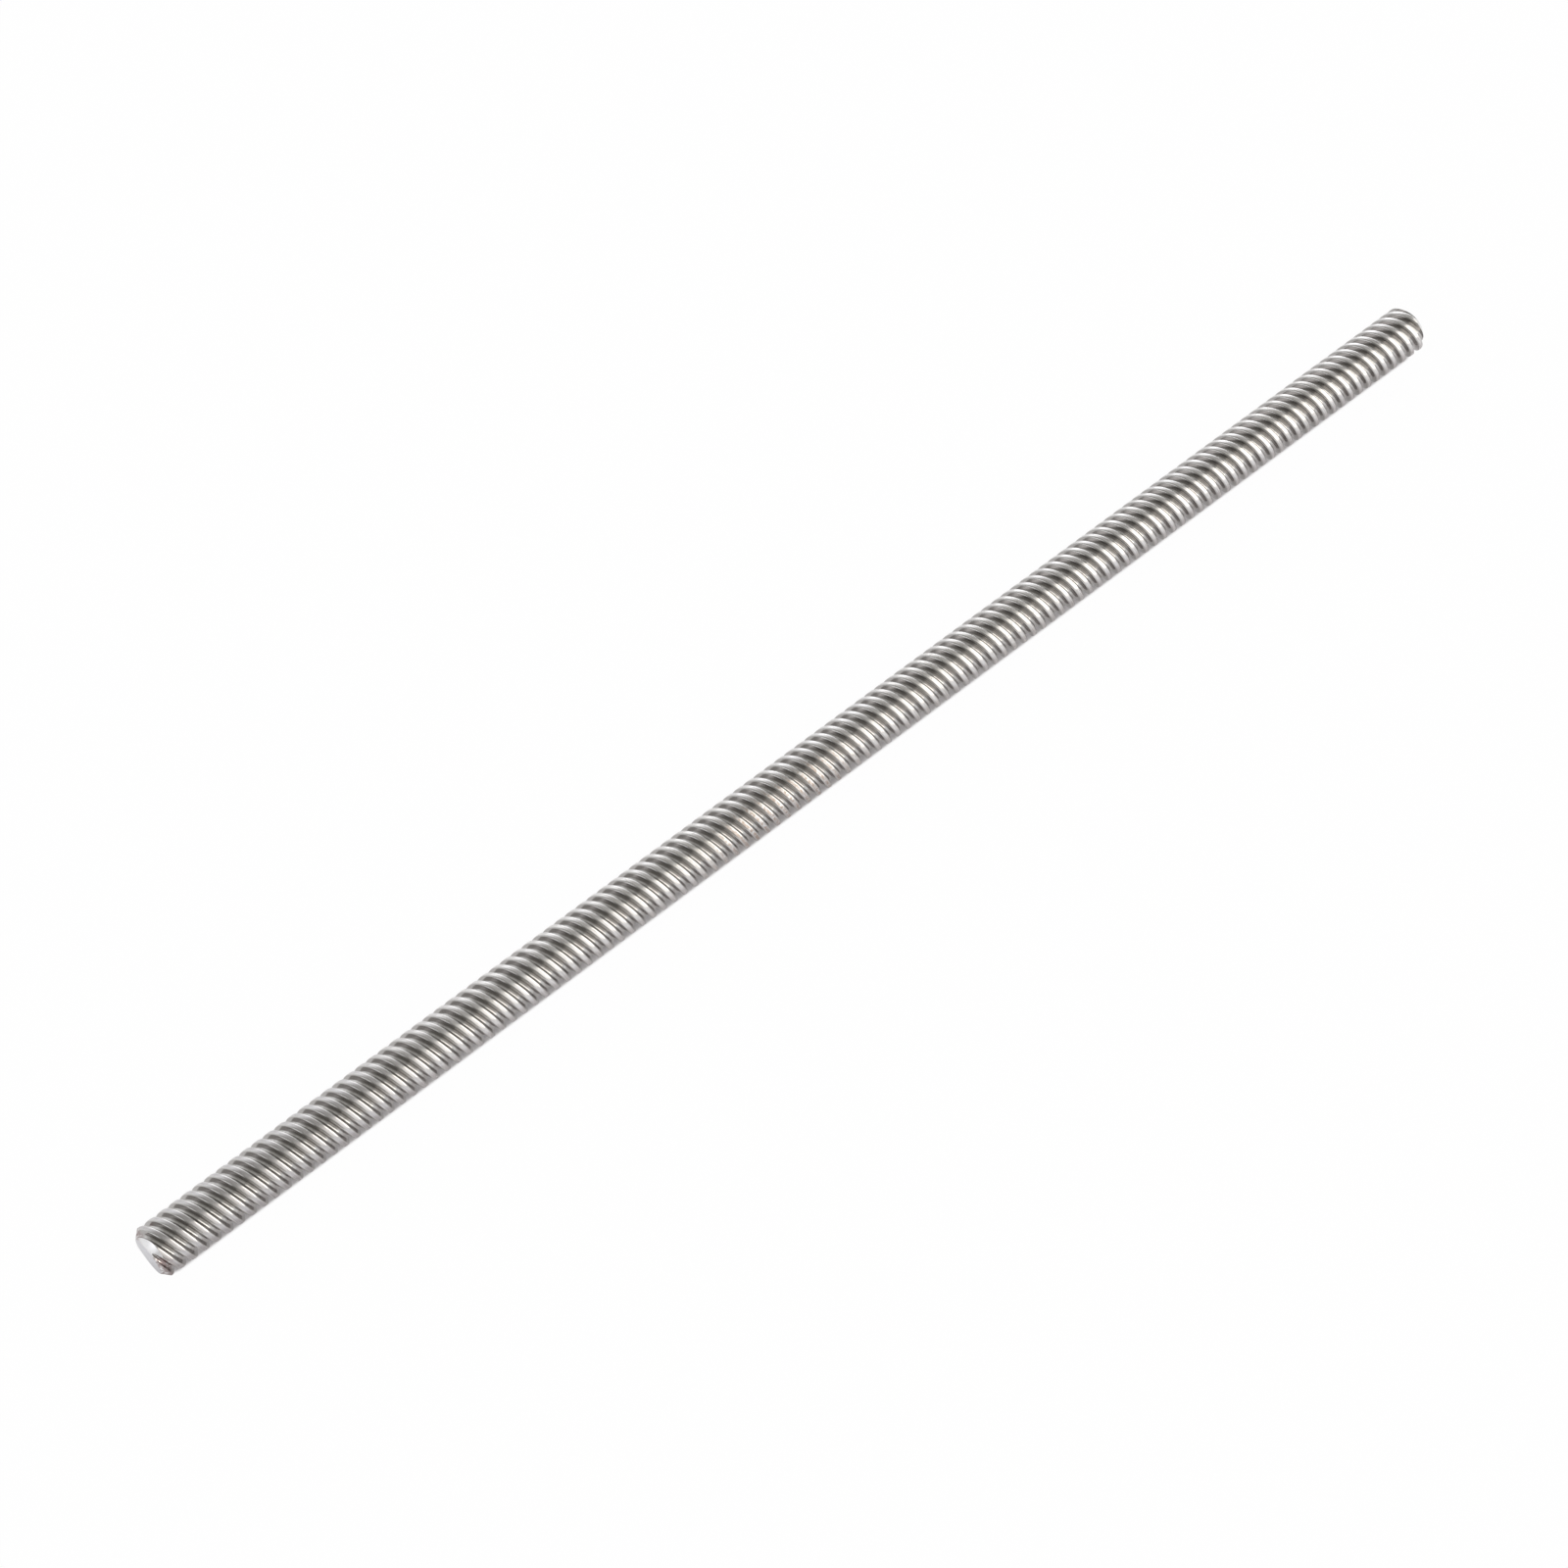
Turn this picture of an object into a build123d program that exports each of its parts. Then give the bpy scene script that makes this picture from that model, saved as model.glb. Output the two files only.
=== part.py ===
"""Lead screw: a round bar with a right-hand, four-start trapezoidal thread from end to end.

The bar lies along X, centred on the origin, and its lowest line touches the floor plane.
"""

import os
from math import ceil, radians, tan

from build123d import *

# Bar
LENGTH = 250.0
MAJOR_DIAMETER = 8.0
MINOR_DIAMETER = 6.2
END_CHAMFER = 1.1

# Thread: its lead is the advance in one turn, and the flanks lean 15 degrees each
PITCH = 2.0
STARTS = 4
FLANK_ANGLE = 15.0
CREST_WIDTH = 0.88

# The thread turns by this angle from one flat facet to the next. It doesn't divide a full turn,
# so the facets of neighbouring turns don't line up into flats along the bar.
FACET_ANGLE = 33.0

major_radius = MAJOR_DIAMETER / 2
minor_radius = MINOR_DIAMETER / 2
lead = PITCH * STARTS
flank_width = (major_radius - minor_radius) * tan(radians(FLANK_ANGLE))

bar_start = Plane(origin=(-LENGTH / 2, 0, major_radius), x_dir=(0, 1, 0), z_dir=(1, 0, 0))

# Corners of one tooth and the gap after it, cut along the axis: radius, distance along the bar
tooth = [
    (major_radius, 0),
    (major_radius, CREST_WIDTH),
    (minor_radius, CREST_WIDTH + flank_width),
    (minor_radius, PITCH - flank_width),
]
teeth = [(radius, start * PITCH + along) for start in range(STARTS) for radius, along in tooth]

# The thread is made one lead too long at both ends and then cut to length
stations = ceil((LENGTH / lead + 2) * 360 / FACET_ANGLE)
turn = round(360 / FACET_ANGLE)


def corner(edge, station):
    """Where one helical edge of the thread passes a station."""
    radius, along = edge
    angle = station * FACET_ANGLE
    reach = Vector(radius, 0, along + lead * (angle / 360 - 1)).rotate(Axis.Z, angle)
    return bar_start.from_local_coords(reach)


def profile(station):
    """The teeth of one lead at a station, closed by the first edge one turn later."""
    return [corner(edge, station) for edge in teeth] + [corner(teeth[0], station + turn)]


def facets(near, far):
    """Flat faces between two profiles: crests and roots are four-sided, flanks are two triangles."""
    for index in range(len(teeth)):
        a, b = near[index : index + 2]
        d, c = far[index : index + 2]
        if index % 2 == 0:
            yield Face(Wire.make_polygon([a, b, c, d]))
        else:
            yield Face(Wire.make_polygon([a, b, c]))
            yield Face(Wire.make_polygon([a, c, d]))


def end_cap(station):
    """Triangles that close the thread from its axis, out of reach of the finished bar."""
    first_turn = [corner(teeth[0], station + step) for step in range(turn, -1, -1)]
    rim = profile(station) + first_turn[1:]
    centre = bar_start.from_local_coords(Vector(0, 0, lead * (station * FACET_ANGLE / 360 - 0.5)))
    for a, b in zip(rim, rim[1:]):
        yield Face(Wire.make_polygon([centre, a, b]))


profiles = [profile(station) for station in range(stations + 1)]
skin = [face for near, far in zip(profiles, profiles[1:]) for face in facets(near, far)]
skin.extend(end_cap(0))
skin.extend(end_cap(stations))

with BuildPart(bar_start) as envelope:
    Cylinder(MAJOR_DIAMETER, LENGTH, align=(Align.CENTER, Align.CENTER, Align.MIN))
    chamfer(envelope.edges().filter_by(GeomType.CIRCLE), END_CHAMFER + major_radius)

with BuildPart() as lead_screw:
    add(Solid(Shell(skin)))
    add(envelope.part, mode=Mode.INTERSECT)

os.makedirs("parts", exist_ok=True)
lead_screw.part.label = "lead_screw"
export_step(lead_screw.part, "parts/lead_screw.step")
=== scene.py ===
"""A lead screw of bright rolled steel, lying on a pale floor under soft studio light.

Sizes are in metres unless a name or comment says otherwise. The bar lies along X.
"""

import math

import bmesh
import bpy
import numpy as np
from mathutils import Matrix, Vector


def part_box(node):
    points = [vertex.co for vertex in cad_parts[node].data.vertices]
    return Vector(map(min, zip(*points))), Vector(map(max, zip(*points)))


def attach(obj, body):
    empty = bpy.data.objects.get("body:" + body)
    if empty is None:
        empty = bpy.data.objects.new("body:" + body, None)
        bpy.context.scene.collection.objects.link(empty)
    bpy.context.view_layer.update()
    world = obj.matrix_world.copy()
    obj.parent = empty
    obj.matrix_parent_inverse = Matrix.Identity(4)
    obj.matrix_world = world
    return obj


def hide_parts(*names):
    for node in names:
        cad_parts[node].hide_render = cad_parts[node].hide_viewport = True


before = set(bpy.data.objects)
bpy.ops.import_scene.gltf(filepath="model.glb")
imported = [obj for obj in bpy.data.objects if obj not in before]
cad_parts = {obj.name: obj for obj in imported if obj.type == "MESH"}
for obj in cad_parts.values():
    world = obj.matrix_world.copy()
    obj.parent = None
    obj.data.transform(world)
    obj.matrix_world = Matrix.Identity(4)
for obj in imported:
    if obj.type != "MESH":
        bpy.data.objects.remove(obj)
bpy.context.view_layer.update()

MM = 0.001

# The bar, as the frame gives it
low, high = (Vector(corner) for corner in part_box("lead_screw"))
LENGTH = high.x - low.x
CREST_RADIUS = (high.z - low.z) / 2
AXIS_HEIGHT = (high.z + low.z) / 2

# Thread
PITCH = 2 * MM
STARTS = 4
LEAD = PITCH * STARTS
ROOT_RADIUS = 3.1 * MM
CREST_WIDTH = 0.88 * MM
FLANK_ANGLE = math.radians(15)
CREST_ROUNDING = 0.2 * MM
ROOT_ROUNDING = 0.26 * MM
CORNER_POINTS = 4
STEPS_PER_TURN = 44

# The thread is made longer than the bar, starts before it and is then cut
SPARE_LEADS = 4
LEADS_BEFORE = 2.5
STUMP = 1 * MM

# Ends: the edge between face and chamfer is broken, with a point between that lies at shares of the
# break's reach. The blank goes on past the crests by its spare.
CHAMFER = 1.1 * MM
EDGE_BREAK = 0.08 * MM
BREAK_ALONG, BREAK_IN = 0.2, 0.35
BLANK_SPARE = 2 * MM
END_SEGMENTS = 192
SMOOTH_BELOW = math.radians(40)

# Colours of the steel and of what lies on it
CREST_COLD = (0.72, 0.706, 0.714, 1)
CREST_WARM = (0.74, 0.722, 0.71, 1)
# Colour the crests grow darker towards, towards the near end
CREST_NEAR_END_DARK = (0.5, 0.485, 0.5, 1)
SCORED = (0.3, 0.275, 0.265, 1)
FILM = (0.45, 0.355, 0.295, 1)
GROOVE = (0.6, 0.59, 0.58, 1)
# Dark residue in the groove depths, and also the painted shade on the flanks
RESIDUE_AND_FLANK_SHADE = (0.22, 0.2, 0.19, 1)
FACE = (0.6, 0.6, 0.63, 1)
# The chamfer's colour is lighter than the face's, a painted highlight
CONE_PAINTED_HIGHLIGHT = (0.8, 0.795, 0.8, 1)
BROWN = (0.3, 0.235, 0.23, 1)

# Where marks lie, in millimetres. Each pair goes from where there is none to where it is full: the
# film by distance from its middle and sideways from the axis, the darker stretch towards the near end
# from the bar's middle, the brown stain from the near face and up from the axis, cone and groove out
# from the axis.
FILM_MIDDLE = -13
FILM_REACH = (20, 5)
FILM_SIDE = (0.5, -2)
NEAR_END_DARK_REACH = (-60, -105)
STAIN_REACH = (2.4, 1.2)
STAIN_HEIGHT = (3.2, 1.8)
CONE_START = (2.8, 3)
GROOVE_DEPTH = (3.95, 3.3)

# Noise levels between which marks fade in
BRUISES_FROM = (0.55, 0.68)
BRUISED_PATCHES = (0.42, 0.6)
WARM_PATCHES = (0.35, 0.65)
FILM_FROM = (0.4, 0.58)
SCORES_FROM = (0.5, 0.3)
RESIDUE_FROM = (0.35, 0.7)
STAIN_FROM = (0.36, 0.52)

# How strongly marks show, from 0 to 1. Flanks get painted shade by how far they face along the bar.
FAINTEST_BRUISE = 0.15
BRUISE_STRENGTH = 0.6
SCORE_STRENGTH = 0.42
NEAR_END_DARK_STRENGTH = 0.72
RESIDUE_STRENGTH = 0.35
FLANK_SHADE_STRENGTH = 0.5
FLANK_SHADE_LEAN = (0.45, 0.9)
FACE_STAIN, CONE_ADDS = 0.1, 0.75

# Roughness: the least, and what the surface's noise adds to it. The crests' gloss spreads across the
# lines, a quarter turn from the tangent.
CREST_ROUGHNESS, BRUISES_ADD = 0.32, 0.12
GROOVE_ROUGHNESS, SPECKS_ADD = 0.1, 0.12
CUT_ROUGHNESS, RINGS_ADD, STAIN_ADDS = 0.24, 0.16, 0.15
CREST_ANISOTROPY = 0.84
GLOSS_TURN = 0.25

# Fine relief: width and length of the rolling lines and width of the rings in millimetres, heights
CREST_LINES = (0.17, 3)
GROOVE_LINES = (0.12, 2)
RING_WIDTH = 0.1
CREST_RELIEF = 0.009 * MM
GROOVE_RELIEF = 0.003 * MM
CUT_RELIEF = 0.01 * MM
CUT_RELIEF_SHARE = 0.6
BRUISE_DEPTH = 0.4

# The photograph's view, and how far its middle lies from the bar's middle
PHOTO_SIDE = 1600
FOCAL_PIXELS = 3410
SENSOR_WIDTH = 36
CAMERA_DISTANCE = 501.3 * MM
CAMERA_ELEVATION = math.radians(57.8)
CAMERA_AZIMUTH = math.radians(-131.05)
LOOK_AT = Vector((-7.86, 2.39, 0)) * MM
NEAREST, FARTHEST = 0.01, 50

# Stage: the floor is white to the camera except right beside the bar. The bar mirrors more of its
# own soft shadow, which falls towards the camera.
FLOOR_SIDE = 12.0
FLOOR_COLOUR = (0.74, 0.73, 0.765, 1)
FLOOR_ROUGHNESS = 0.9
WHITE_SHARE = 0.98
SHADOW_START = 2.3 * MM
SHADOW_END = 2.9 * MM
SHADOW_SPREAD_BEHIND = 3.5 * MM
SHADOW_INSET = 3 * MM
MIRRORED_SHADOW_SHIFT = 6 * MM
MIRRORED_SHADOW_START = 2 * MM
MIRRORED_SHADOW_END = 10 * MM

# Light: the levels of the studio's sides, and what the screens add to them. Angles go round the bar,
# in degrees from overhead towards the camera's side. Edges are cosines from a screen's middle, and
# spreads the part of a direction that runs along the bar, from -1 for the near end to 1 for the far.
CEILING_LEVEL = 0.45
LEFT_LEVEL = 0.28
LEFT_SPREAD = (-0.6, 0)
BACK_START, BACK_END, BACK_ADDS = -25, -75, 0.6
FRONT_START, FRONT_END, FRONT_ADDS = 40, 78, 0.34
FRONT_SPREAD = (0, 0.45)
SCREEN_TOWARDS = (0.68, -0.66, 0.3)
SCREEN_EDGE = (0.7, 0.795)
SCREEN_SPREAD = (0.08, 0.46)
SCREEN_LEVELS = (0, 2)
RIM_TOWARDS = (0.75, 0.66, -0.06)
RIM_EDGE = (0.78, 0.95)
RIM_LEVEL = 1.5
END_TOWARDS = (-0.93, 0.1, 0.34)
END_EDGE = (0.94, 0.985)
END_LEVEL = 1.5
DIFFUSE_BOOST = 0.4
CREAM = (1, 0.985, 0.935)
COOL = (0.97, 0.985, 1.02)
WARM = (1, 0.965, 0.9)


def tooth_profile():
    """Points over one pitch as (distance along the bar, radius), with each corner rounded."""
    flank = (CREST_RADIUS - ROOT_RADIUS) * math.tan(FLANK_ANGLE)
    corners = [
        (Vector((0, CREST_RADIUS)), CREST_ROUNDING),
        (Vector((CREST_WIDTH, CREST_RADIUS)), CREST_ROUNDING),
        (Vector((CREST_WIDTH + flank, ROOT_RADIUS)), ROOT_ROUNDING),
        (Vector((PITCH - flank, ROOT_RADIUS)), ROOT_ROUNDING),
    ]
    before = Vector((-flank, ROOT_RADIUS))
    after = Vector((PITCH, CREST_RADIUS))
    line = [before] + [corner for corner, _ in corners] + [after]
    points = []
    for index, (corner, reach) in enumerate(corners, start=1):
        start = corner + (line[index - 1] - corner).normalized() * reach
        end = corner + (line[index + 1] - corner).normalized() * reach
        for t in np.linspace(0, 1, CORNER_POINTS):
            points.append(start * (1 - t) ** 2 + corner * 2 * t * (1 - t) + end * t**2)
    return points


def thread_mesh():
    """The thread as one skin along the helix, longer than the bar and closed flat at both ends."""
    tooth = tooth_profile()
    along = np.array([start * PITCH + point.x for start in range(STARTS) for point in tooth])
    radius = np.array([point.y for _ in range(STARTS) for point in tooth])
    across = len(along)
    stations = math.ceil((LENGTH / LEAD + SPARE_LEADS) * STEPS_PER_TURN)
    turns = np.arange(stations + 1)[:, None] / STEPS_PER_TURN
    x = low.x + along + LEAD * (turns - LEADS_BEFORE)
    y = -radius * np.sin(2 * math.pi * turns)
    z = AXIS_HEIGHT + radius * np.cos(2 * math.pi * turns)
    vertices = np.stack([x, y, z], axis=-1).reshape(-1, 3)

    # The last column of each turn joins the first column of the next one
    i, j = np.meshgrid(np.arange(stations - STEPS_PER_TURN), np.arange(across), indexing="ij")
    next_i = np.where(j == across - 1, i + STEPS_PER_TURN, i)
    next_j = (j + 1) % across
    corners = [
        i * across + j,
        next_i * across + next_j,
        (next_i + 1) * across + next_j,
        (i + 1) * across + j,
    ]
    quads = np.stack(corners, axis=-1).reshape(-1, 4)
    mesh = bpy.data.meshes.new("thread")
    mesh.from_pydata(vertices.tolist(), [], quads.tolist())
    is_crest = (j % len(tooth) == CORNER_POINTS - 1).astype(int)
    mesh.polygons.foreach_set("material_index", is_crest.reshape(-1))

    work = bmesh.new()
    work.from_mesh(mesh)
    loose = [vertex for vertex in work.verts if not vertex.link_faces]
    bmesh.ops.delete(work, geom=loose, context="VERTS")
    for side in (-1, 1):
        cut = bmesh.ops.bisect_plane(
            work,
            geom=work.verts[:] + work.edges[:] + work.faces[:],
            plane_co=(side * (LENGTH / 2 + STUMP), 0, 0),
            plane_no=(side, 0, 0),
            clear_outer=True,
        )
        rim = [part for part in cut["geom_cut"] if isinstance(part, bmesh.types.BMEdge)]
        bmesh.ops.edgeloop_fill(work, edges=rim)
    bmesh.ops.recalc_face_normals(work, faces=work.faces)
    work.to_mesh(mesh)
    work.free()
    return mesh


def blank_mesh():
    """The turned bar before threading, over size on its diameter, with chamfered ends."""
    face_radius = CREST_RADIUS - CHAMFER
    break_side = EDGE_BREAK * math.sin(math.radians(45))
    half = [
        (-LENGTH / 2, 0),
        (-LENGTH / 2, face_radius - EDGE_BREAK),
        (-LENGTH / 2 + EDGE_BREAK * BREAK_ALONG, face_radius - EDGE_BREAK * BREAK_IN),
        (-LENGTH / 2 + break_side, face_radius + break_side),
        (-LENGTH / 2 + CHAMFER + BLANK_SPARE, CREST_RADIUS + BLANK_SPARE),
    ]
    outline = half + [(-x, radius) for x, radius in reversed(half)]
    rings = outline[1:-1]
    vertices = [(outline[0][0], 0, AXIS_HEIGHT), (outline[-1][0], 0, AXIS_HEIGHT)]
    for x, radius in rings:
        for segment in range(END_SEGMENTS):
            angle = 2 * math.pi * segment / END_SEGMENTS
            vertices.append((x, radius * math.sin(angle), AXIS_HEIGHT + radius * math.cos(angle)))

    # Vertices 0 and 1 are the middles of the two faces, and the rings follow
    first = 2
    last = first + (len(rings) - 1) * END_SEGMENTS
    faces = []
    for segment in range(END_SEGMENTS):
        following = (segment + 1) % END_SEGMENTS
        faces.append((0, first + segment, first + following))
        faces.append((1, last + following, last + segment))
        for base in range(first, last, END_SEGMENTS):
            above = base + END_SEGMENTS
            faces.append((base + segment, above + segment, above + following, base + following))
    mesh = bpy.data.meshes.new("blank")
    mesh.from_pydata(vertices, [], faces)
    work = bmesh.new()
    work.from_mesh(mesh)
    bmesh.ops.recalc_face_normals(work, faces=work.faces)
    work.to_mesh(mesh)
    work.free()
    return mesh


def add_node(tree, kind, inputs=None, **settings):
    """A new node. Each input is a number, a colour or another node's output."""
    node = tree.nodes.new(kind)
    for name, value in settings.items():
        setattr(node, name, value)
    for socket, value in (inputs or {}).items():
        if isinstance(value, bpy.types.NodeSocket):
            tree.links.new(value, node.inputs[socket])
        else:
            node.inputs[socket].default_value = value
    return node


def calculate(tree, operation, *values):
    """The output of a Math node."""
    return add_node(tree, "ShaderNodeMath", dict(enumerate(values)), operation=operation).outputs[0]


def product(tree, first, *others):
    for other in others:
        first = calculate(tree, "MULTIPLY", first, other)
    return first


def ramp(tree, value, start, end, low=0, high=1):
    """Rises smoothly from low to high while value goes from start to end."""
    inputs = {"Value": value, "From Min": start, "From Max": end, "To Min": low, "To Max": high}
    node = add_node(tree, "ShaderNodeMapRange", inputs, interpolation_type="SMOOTHSTEP")
    return node.outputs["Result"]


def noise(tree, vector, scale=1, detail=2, roughness=0.5):
    inputs = {"Vector": vector, "Scale": scale, "Detail": detail, "Roughness": roughness}
    return add_node(tree, "ShaderNodeTexNoise", inputs, noise_dimensions="3D").outputs["Fac"]


def vector_of(tree, x, y, z):
    return add_node(tree, "ShaderNodeCombineXYZ", {"X": x, "Y": y, "Z": z}).outputs[0]


def vector_math(tree, operation, inputs):
    return add_node(tree, "ShaderNodeVectorMath", inputs, operation=operation)


def scaled(tree, vector, level):
    return vector_math(tree, "SCALE", {0: vector, "Scale": level}).outputs[0]


def mix_colour(tree, factor, first, second):
    # Sockets 6 and 7 are the node's two colours
    inputs = {0: factor, 6: first, 7: second}
    return add_node(tree, "ShaderNodeMix", inputs, data_type="RGBA", clamp_factor=True).outputs[2]


def bar_coordinates(tree):
    """Places on the bar in millimetres: along it, sideways and up from its axis, and out from it."""
    place = add_node(tree, "ShaderNodeTexCoord").outputs["Object"]
    split = add_node(tree, "ShaderNodeSeparateXYZ", {0: scaled(tree, place, 1 / MM)})
    along, sideways = split.outputs["X"], split.outputs["Y"]
    up = calculate(tree, "SUBTRACT", split.outputs["Z"], AXIS_HEIGHT / MM)
    squares = calculate(tree, "MULTIPLY", up, up)
    radius = calculate(tree, "SQRT", calculate(tree, "MULTIPLY_ADD", sideways, sideways, squares))
    return along, sideways, up, radius


def new_metal(name):
    material = bpy.data.materials.new(name)
    material.use_nodes = True
    shader = material.node_tree.nodes["Principled BSDF"]
    shader.inputs["Metallic"].default_value = 1
    return material, material.node_tree, shader


def finish_metal(tree, shader, colour, roughness, height, relief, share=1):
    """Joins up a metal: its colour, its roughness and the fine relief of its surface."""
    inputs = {"Strength": share, "Distance": relief, "Height": height}
    bump = add_node(tree, "ShaderNodeBump", inputs)
    tree.links.new(colour, shader.inputs["Base Color"])
    tree.links.new(roughness, shader.inputs["Roughness"])
    tree.links.new(bump.outputs[0], shader.inputs["Normal"])


def rolling_marks(tree, width, length):
    """Noise drawn out along the helix, width across it and length along it in millimetres."""
    along, sideways, up, _ = bar_coordinates(tree)
    angle = calculate(tree, "ARCTAN2", sideways, up)
    helix = calculate(tree, "MULTIPLY_ADD", angle, LEAD / MM / (2 * math.pi), along)
    place = vector_of(
        tree,
        calculate(tree, "DIVIDE", helix, width),
        calculate(tree, "DIVIDE", sideways, length),
        calculate(tree, "DIVIDE", up, length),
    )
    return noise(tree, place, detail=3, roughness=0.6)


def end_stain(tree, along, up, specks):
    """How strongly brown marks show, low on the near end."""
    from_face = calculate(tree, "ADD", along, LENGTH / 2 / MM)
    reach = product(tree, ramp(tree, from_face, *STAIN_REACH), ramp(tree, up, *STAIN_HEIGHT))
    return product(tree, reach, ramp(tree, specks, *STAIN_FROM))


def make_crest_steel():
    """Tops of the teeth: bright, scored by fine lines along the helix, a little bruised, and darker
    towards the near end.
    """
    material, tree, shader = new_metal("crest_steel")
    along, sideways, up, _ = bar_coordinates(tree)
    place = vector_of(tree, along, sideways, up)
    lines = rolling_marks(tree, *CREST_LINES)
    specks = noise(tree, place, scale=2.8, detail=4, roughness=0.65)
    patches = noise(tree, place, scale=0.09, detail=3, roughness=0.55)
    bruised = ramp(tree, patches, *BRUISED_PATCHES, FAINTEST_BRUISE, 1)
    bruises = product(tree, ramp(tree, specks, *BRUISES_FROM), bruised)

    colour = mix_colour(tree, ramp(tree, patches, *WARM_PATCHES), CREST_COLD, CREST_WARM)
    from_film = calculate(tree, "ABSOLUTE", calculate(tree, "SUBTRACT", along, FILM_MIDDLE))
    film = product(
        tree,
        ramp(tree, from_film, *FILM_REACH),
        ramp(tree, specks, *FILM_FROM),
        ramp(tree, sideways, *FILM_SIDE),
    )
    colour = mix_colour(tree, film, colour, FILM)
    # The crests grow darker towards the near end
    near_end_dark = ramp(tree, along, *NEAR_END_DARK_REACH, 0, NEAR_END_DARK_STRENGTH)
    colour = mix_colour(tree, near_end_dark, colour, CREST_NEAR_END_DARK)
    scored = product(tree, ramp(tree, lines, *SCORES_FROM), SCORE_STRENGTH)
    scored = calculate(tree, "MAXIMUM", scored, product(tree, bruises, BRUISE_STRENGTH))
    colour = mix_colour(tree, scored, colour, SCORED)
    colour = mix_colour(tree, end_stain(tree, along, up, specks), colour, BROWN)

    roughness = calculate(tree, "MULTIPLY_ADD", bruises, BRUISES_ADD, CREST_ROUGHNESS)
    height = calculate(tree, "MULTIPLY_ADD", bruises, -BRUISE_DEPTH, lines)
    finish_metal(tree, shader, colour, roughness, height, CREST_RELIEF)
    shader.inputs["Anisotropic"].default_value = CREST_ANISOTROPY
    shader.inputs["Anisotropic Rotation"].default_value = GLOSS_TURN
    tangent = add_node(tree, "ShaderNodeTangent", direction_type="RADIAL", axis="X").outputs[0]
    tree.links.new(tangent, shader.inputs["Tangent"])
    return material


def make_groove_steel():
    """Flanks and roots: burnished smooth by the rolling dies, with painted shade on the flanks and
    specks of residue in the depth.
    """
    material, tree, shader = new_metal("groove_steel")
    along, sideways, up, radius = bar_coordinates(tree)
    specks = noise(tree, vector_of(tree, along, sideways, up), scale=2.2, detail=4, roughness=0.6)
    normal = add_node(tree, "ShaderNodeNewGeometry").outputs["Normal"]
    leaning = add_node(tree, "ShaderNodeSeparateXYZ", {0: normal}).outputs["X"]
    # Painted shade: flanks darken by how far they face along the bar
    flank = ramp(tree, calculate(tree, "ABSOLUTE", leaning), *FLANK_SHADE_LEAN, 0, FLANK_SHADE_STRENGTH)
    depth = ramp(tree, radius, *GROOVE_DEPTH)
    specked = product(tree, depth, ramp(tree, specks, *RESIDUE_FROM, 0, RESIDUE_STRENGTH))
    colour = mix_colour(tree, calculate(tree, "MAXIMUM", specked, flank), GROOVE, RESIDUE_AND_FLANK_SHADE)
    colour = mix_colour(tree, end_stain(tree, along, up, specks), colour, BROWN)
    roughness = calculate(tree, "MULTIPLY_ADD", specks, SPECKS_ADD, GROOVE_ROUGHNESS)
    lines = rolling_marks(tree, *GROOVE_LINES)
    finish_metal(tree, shader, colour, roughness, lines, GROOVE_RELIEF)
    return material


def make_cut_steel():
    """Flat and chamfered ends: fine rings round the axis, brown marks low on the near end, and a
    painted highlight that makes the chamfer lighter than the face.
    """
    material, tree, shader = new_metal("cut_steel")
    along, sideways, up, radius = bar_coordinates(tree)
    across_rings = calculate(tree, "DIVIDE", radius, RING_WIDTH)
    along_rings = calculate(tree, "DIVIDE", along, RING_WIDTH)
    rings = noise(tree, vector_of(tree, across_rings, along_rings, 0), detail=3, roughness=0.6)
    specks = noise(tree, vector_of(tree, along, sideways, up), scale=1.4, detail=4, roughness=0.6)
    cone = ramp(tree, radius, *CONE_START)
    marks = end_stain(tree, along, up, specks)
    marks = product(tree, marks, calculate(tree, "MULTIPLY_ADD", cone, CONE_ADDS, FACE_STAIN))
    # Painted highlight: the chamfer takes a lighter colour than the face
    colour = mix_colour(tree, marks, mix_colour(tree, cone, FACE, CONE_PAINTED_HIGHLIGHT), BROWN)
    roughness = calculate(tree, "MULTIPLY_ADD", rings, RINGS_ADD, CUT_ROUGHNESS)
    roughness = calculate(tree, "MULTIPLY_ADD", marks, STAIN_ADDS, roughness)
    finish_metal(tree, shader, colour, roughness, rings, CUT_RELIEF, CUT_RELIEF_SHARE)
    return material


def sharpen_cuts(mesh):
    """Smooth shading everywhere but at sharp edges and where the end's cut meets the thread."""
    mesh.shade_smooth()
    mesh.set_sharp_from_angle(angle=SMOOTH_BELOW)
    cut = mesh.materials.find("cut_steel")
    work = bmesh.new()
    work.from_mesh(mesh)
    for edge in work.edges:
        sides = {face.material_index for face in edge.link_faces}
        if cut in sides and len(sides) > 1:
            edge.smooth = False
    work.to_mesh(mesh)
    work.free()


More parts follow.
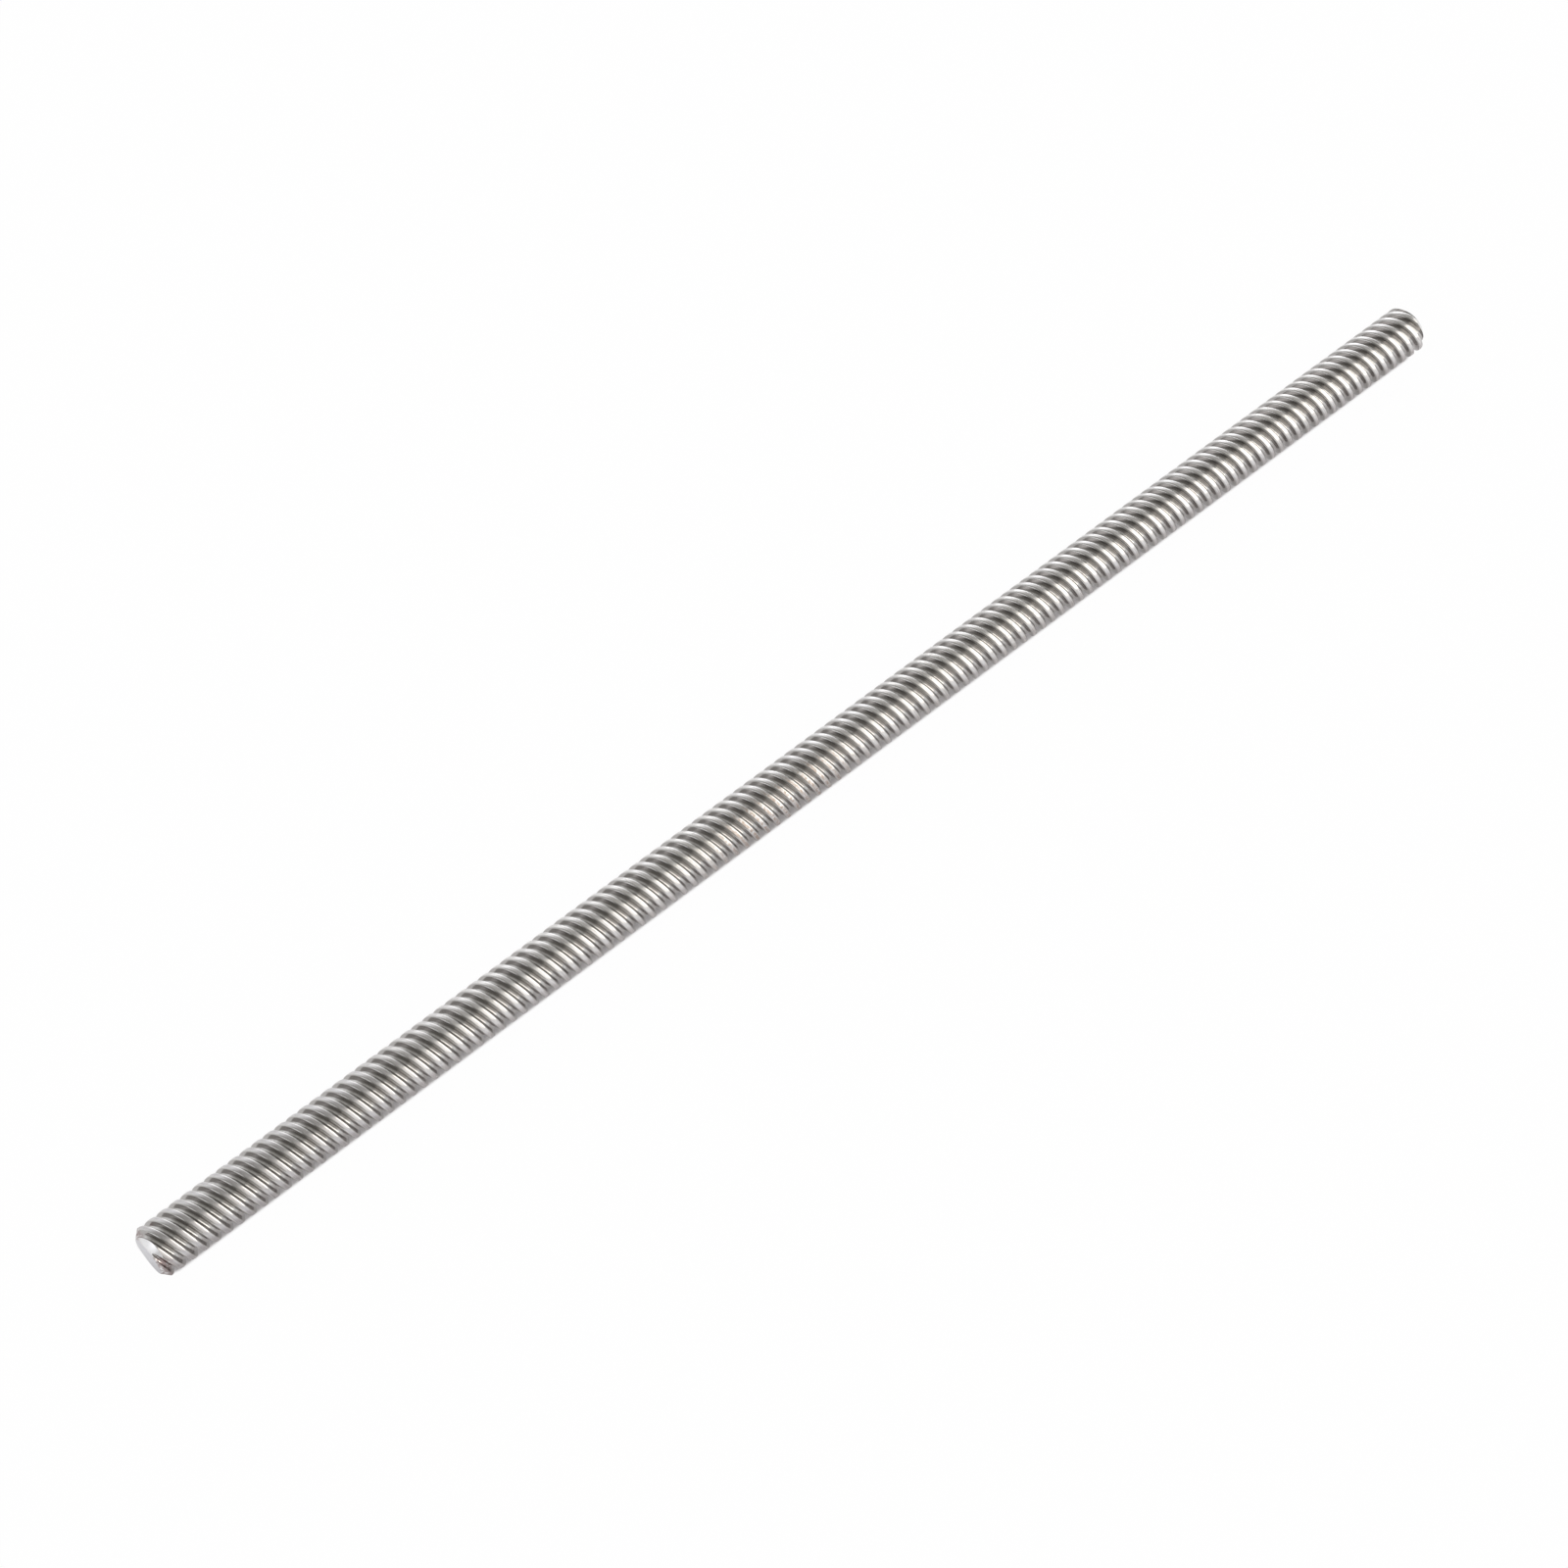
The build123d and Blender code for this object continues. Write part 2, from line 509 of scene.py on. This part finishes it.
def make_bar():
    """The thread, cut to length and chamfered by the blank."""
    groove_steel = make_groove_steel()
    crest_steel = make_crest_steel()
    cut_steel = make_cut_steel()
    thread = bpy.data.objects.new("thread_stock", thread_mesh())
    blank = bpy.data.objects.new("blank", blank_mesh())
    for stock, materials in ((thread, (groove_steel, crest_steel)), (blank, (cut_steel,))):
        bpy.context.collection.objects.link(stock)
        for material in materials:
            stock.data.materials.append(material)
    trim = thread.modifiers.new("cut_to_length", "BOOLEAN")
    trim.operation = "INTERSECT"
    trim.solver = "EXACT"
    trim.material_mode = "TRANSFER"
    trim.object = blank
    bpy.context.view_layer.update()
    evaluated = thread.evaluated_get(bpy.context.evaluated_depsgraph_get())
    finished = bpy.data.meshes.new_from_object(evaluated)
    finished.name = "threaded_bar"
    bpy.data.objects.remove(thread)
    bpy.data.objects.remove(blank)
    sharpen_cuts(finished)
    bar = bpy.data.objects.new("threaded_bar", finished)
    bpy.context.collection.objects.link(bar)
    return bar


def shadow_distance(tree, beyond, beside):
    """Distance from the shadow's middle line, given how far a place lies past its end and beside it."""
    squares = calculate(tree, "MULTIPLY", beside, beside)
    return calculate(tree, "SQRT", calculate(tree, "MULTIPLY_ADD", beyond, beyond, squares))


def make_floor_material():
    """Pale grey that keeps the bar's soft shadow, under a share of plain white away from the bar."""
    material = bpy.data.materials.new("pale_floor")
    material.use_nodes = True
    tree = material.node_tree
    shader = tree.nodes["Principled BSDF"]
    shader.inputs["Base Color"].default_value = FLOOR_COLOUR
    shader.inputs["Roughness"].default_value = FLOOR_ROUGHNESS

    place = add_node(tree, "ShaderNodeTexCoord").outputs["Object"]
    split = add_node(tree, "ShaderNodeSeparateXYZ", {0: place})
    beyond = calculate(tree, "ABSOLUTE", split.outputs["X"])
    beyond = calculate(tree, "SUBTRACT", beyond, LENGTH / 2 - SHADOW_INSET)
    beyond = calculate(tree, "MAXIMUM", beyond, 0)
    behind = calculate(tree, "SUBTRACT", split.outputs["Y"], SHADOW_SPREAD_BEHIND)
    in_front = calculate(tree, "MULTIPLY", split.outputs["Y"], -1)
    beside = calculate(tree, "MAXIMUM", calculate(tree, "MAXIMUM", behind, in_front), 0)
    distance = shadow_distance(tree, beyond, beside)
    seen_share = ramp(tree, distance, SHADOW_START, SHADOW_END, 0, WHITE_SHARE)
    shifted = calculate(tree, "ADD", split.outputs["Y"], MIRRORED_SHADOW_SHIFT)
    distance = shadow_distance(tree, beyond, shifted)
    mirrored_share = ramp(
        tree, distance, MIRRORED_SHADOW_START, MIRRORED_SHADOW_END, 0, WHITE_SHARE
    )

    rays = add_node(tree, "ShaderNodeLightPath").outputs
    mirrored = calculate(tree, "ADD", rays["Is Glossy Ray"], rays["Is Transmission Ray"])
    share = calculate(tree, "MULTIPLY", rays["Is Camera Ray"], seen_share)
    share = calculate(tree, "MULTIPLY_ADD", mirrored, mirrored_share, share)
    white = add_node(tree, "ShaderNodeEmission", {"Color": (1, 1, 1, 1), "Strength": 1})
    inputs = {0: share, 1: shader.outputs[0], 2: white.outputs[0]}
    blend = add_node(tree, "ShaderNodeMixShader", inputs)
    tree.links.new(blend.outputs[0], tree.nodes["Material Output"].inputs["Surface"])
    return material


def make_floor():
    side = FLOOR_SIDE / 2
    corners = [(-side, -side, 0), (side, -side, 0), (side, side, 0), (-side, side, 0)]
    mesh = bpy.data.meshes.new("floor")
    mesh.from_pydata(corners, [], [(0, 1, 2, 3)])
    mesh.materials.append(make_floor_material())
    floor = bpy.data.objects.new("floor", mesh)
    bpy.context.collection.objects.link(floor)
    return floor


def facing(tree, direction, towards, edge):
    """1 inside a round screen and 0 outside it, with a soft edge."""
    inputs = {0: direction, 1: Vector(towards).normalized()}
    cosine = vector_math(tree, "DOT_PRODUCT", inputs).outputs["Value"]
    return ramp(tree, cosine, *edge)


def make_studio():
    """A dim ceiling, paler walls low behind and in front, and soft screens at the bar's two ends."""
    world = bpy.data.worlds.new("studio")
    world.use_nodes = True
    tree = world.node_tree
    direction = add_node(tree, "ShaderNodeTexCoord").outputs["Generated"]
    split = add_node(tree, "ShaderNodeSeparateXYZ", {0: direction})
    rightward = split.outputs["X"]
    forward = calculate(tree, "MULTIPLY", split.outputs["Y"], -1)
    turn = calculate(tree, "DEGREES", calculate(tree, "ARCTAN2", forward, split.outputs["Z"]))

    ceiling = ramp(tree, rightward, *LEFT_SPREAD, LEFT_LEVEL, CEILING_LEVEL)
    back = ramp(tree, turn, BACK_START, BACK_END, 0, BACK_ADDS)
    front = ramp(tree, turn, FRONT_START, FRONT_END, 0, FRONT_ADDS)
    front = product(tree, ramp(tree, rightward, *FRONT_SPREAD), front)
    rim = product(tree, facing(tree, direction, RIM_TOWARDS, RIM_EDGE), RIM_LEVEL)
    end = product(tree, facing(tree, direction, END_TOWARDS, END_EDGE), END_LEVEL)
    walls = back
    for part in (front, rim, end):
        walls = calculate(tree, "ADD", walls, part)
    screen = ramp(tree, rightward, *SCREEN_SPREAD, *SCREEN_LEVELS)
    screen = product(tree, facing(tree, direction, SCREEN_TOWARDS, SCREEN_EDGE), screen)

    light = scaled(tree, CREAM, ceiling)
    for colour, level in ((COOL, walls), (WARM, screen)):
        inputs = {0: light, 1: scaled(tree, colour, level)}
        light = vector_math(tree, "ADD", inputs).outputs[0]
    background = tree.nodes["Background"]
    tree.links.new(light, background.inputs["Color"])
    diffuse = add_node(tree, "ShaderNodeLightPath").outputs["Is Diffuse Ray"]
    boost = calculate(tree, "MULTIPLY_ADD", diffuse, DIFFUSE_BOOST, 1)
    tree.links.new(boost, background.inputs["Strength"])
    return world


def make_camera():
    lens = bpy.data.cameras.new("camera")
    lens.sensor_width = SENSOR_WIDTH
    lens.sensor_fit = "HORIZONTAL"
    lens.lens = SENSOR_WIDTH * FOCAL_PIXELS / PHOTO_SIDE
    lens.clip_start = NEAREST
    lens.clip_end = FARTHEST
    camera = bpy.data.objects.new("camera", lens)
    bpy.context.collection.objects.link(camera)
    level = math.cos(CAMERA_ELEVATION)
    outward = Vector(
        (
            level * math.cos(CAMERA_AZIMUTH),
            level * math.sin(CAMERA_AZIMUTH),
            math.sin(CAMERA_ELEVATION),
        )
    )
    camera.location = LOOK_AT + outward * CAMERA_DISTANCE
    camera.rotation_euler = (-outward).to_track_quat("-Z", "Y").to_euler()
    return camera


bar = make_bar()
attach(bar, "root")
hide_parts("lead_screw")

floor = make_floor()

bpy.context.scene.world = make_studio()
bpy.context.scene.camera = make_camera()
bpy.context.scene.view_settings.view_transform = "Standard"
